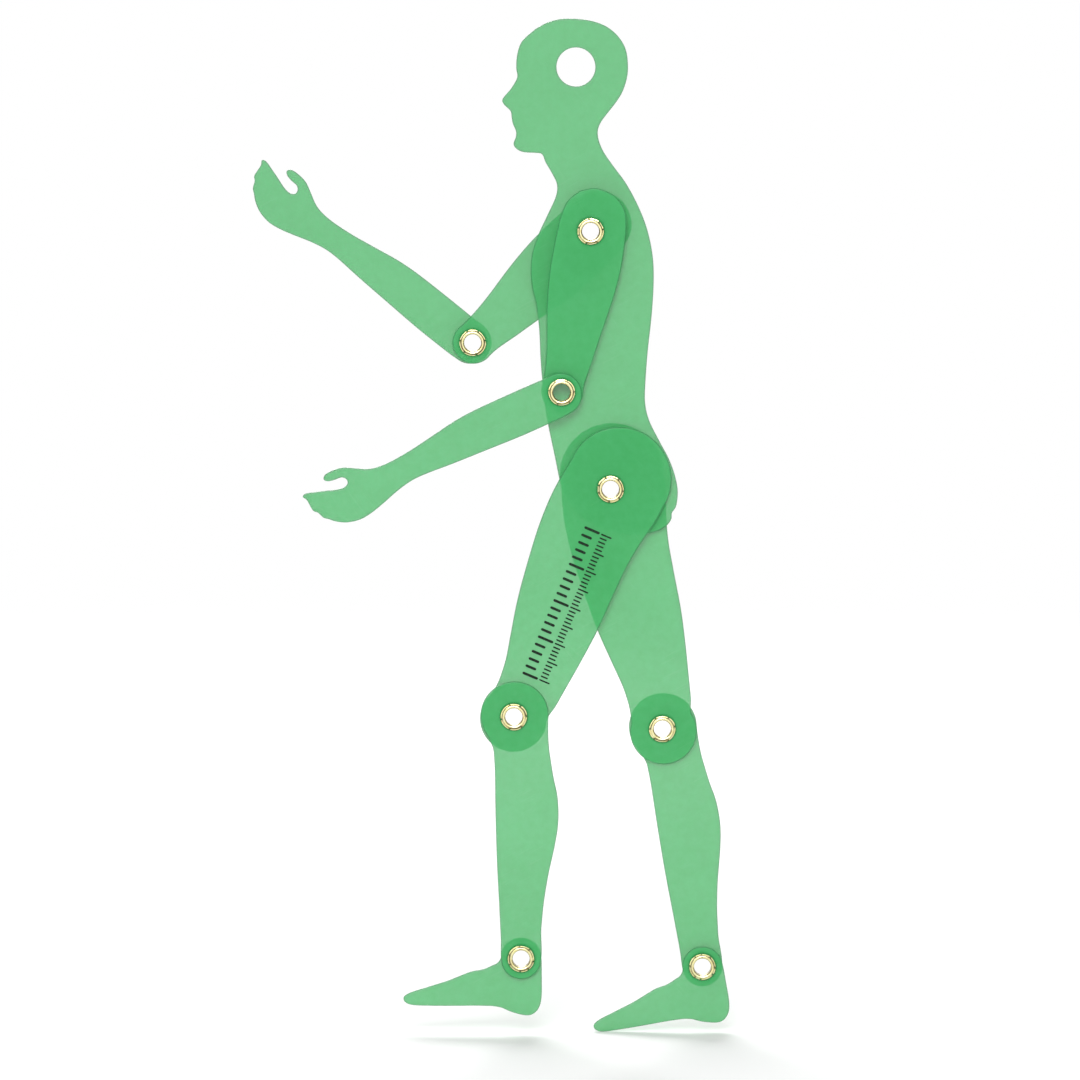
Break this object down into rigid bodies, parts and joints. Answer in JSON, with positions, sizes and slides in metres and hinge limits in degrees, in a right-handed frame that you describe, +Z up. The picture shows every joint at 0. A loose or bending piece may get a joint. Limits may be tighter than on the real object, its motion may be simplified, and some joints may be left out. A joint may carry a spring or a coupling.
{
  "type": "hinged figure drawing template",
  "caption": "Flat see-through green plastic figure in profile, jointed with brass eyelets at shoulder, elbow, hip, knee and ankle, for posing and tracing.",
  "frame": {"origin": "centre of the hanging hole in the head, in the middle of the torso sheet", "axes": "+Z up the standing figure, -X the way it faces, -Y towards the side with the eyelets' rolled rims"},
  "size_m": [0.0784, 0.0079, 0.1669],
  "materials": {
    "green_sheet": "frosted see-through sheet with cut edges",
    "brass": "bright rolled eyelets"
  },
  "bodies": {
    "torso": {"head_and_torso": "green_sheet", "shoulder_eyelet": "brass", "hip_eyelet": "brass"},
    "near_upper_arm": {"near_upper_arm": "green_sheet", "near_elbow_eyelet": "brass"},
    "near_forearm": {"near_forearm": "green_sheet"},
    "near_thigh": {"near_thigh": "green_sheet", "near_knee_eyelet": "brass"},
    "near_shin": {"near_shin": "green_sheet", "near_ankle_eyelet": "brass"},
    "near_foot": {"near_foot": "green_sheet"},
    "far_upper_arm": {"far_upper_arm": "green_sheet", "far_elbow_eyelet": "brass"},
    "far_forearm": {"far_forearm": "green_sheet"},
    "far_thigh": {"far_thigh": "green_sheet", "far_knee_eyelet": "brass"},
    "far_shin": {"far_shin": "green_sheet", "far_ankle_eyelet": "brass"},
    "far_foot": {"far_foot": "green_sheet"}
  },
  "joints": [
    {"name": "near_shoulder", "type": "hinge", "parent": "torso", "child": "near_upper_arm", "pos_m": [0.0024, -0.0022, -0.0268], "axis": [0, 1, 0], "continuous": true},
    {"name": "near_elbow", "type": "hinge", "parent": "near_upper_arm", "child": "near_forearm", "pos_m": [-0.00233, -0.00275, -0.05308], "axis": [0, 1, 0], "continuous": true},
    {"name": "near_hip", "type": "hinge", "parent": "torso", "child": "near_thigh", "pos_m": [0.0057, -0.0011, -0.0691], "axis": [0, 1, 0], "range_deg": [-83, 102]},
    {"name": "near_knee", "type": "hinge", "parent": "near_thigh", "child": "near_shin", "pos_m": [-0.01016, -0.00165, -0.10647], "axis": [0, -1, 0], "range_deg": [-34.7, 115.3]},
    {"name": "near_ankle", "type": "hinge", "parent": "near_shin", "child": "near_foot", "pos_m": [-0.00898, -0.00165, -0.14646], "axis": [0, 1, 0], "range_deg": [-60, 60]},
    {"name": "far_shoulder", "type": "hinge", "parent": "torso", "child": "far_upper_arm", "pos_m": [0.0024, 0.0022, -0.0268], "axis": [0, 1, 0], "continuous": true},
    {"name": "far_elbow", "type": "hinge", "parent": "far_upper_arm", "child": "far_forearm", "pos_m": [-0.01693, 0.00275, -0.04521], "axis": [0, 1, 0], "continuous": true},
    {"name": "far_hip", "type": "hinge", "parent": "torso", "child": "far_thigh", "pos_m": [0.0057, 0.0011, -0.0691], "axis": [0, 1, 0], "range_deg": [-47.8, 137.2]},
    {"name": "far_knee", "type": "hinge", "parent": "far_thigh", "child": "far_shin", "pos_m": [0.01428, 0.00165, -0.10878], "axis": [0, -1, 0], "range_deg": [-7.4, 142.6]},
    {"name": "far_ankle", "type": "hinge", "parent": "far_shin", "child": "far_foot", "pos_m": [0.02095, 0.00165, -0.14822], "axis": [0, 1, 0], "range_deg": [-60, 60]}
  ]
}
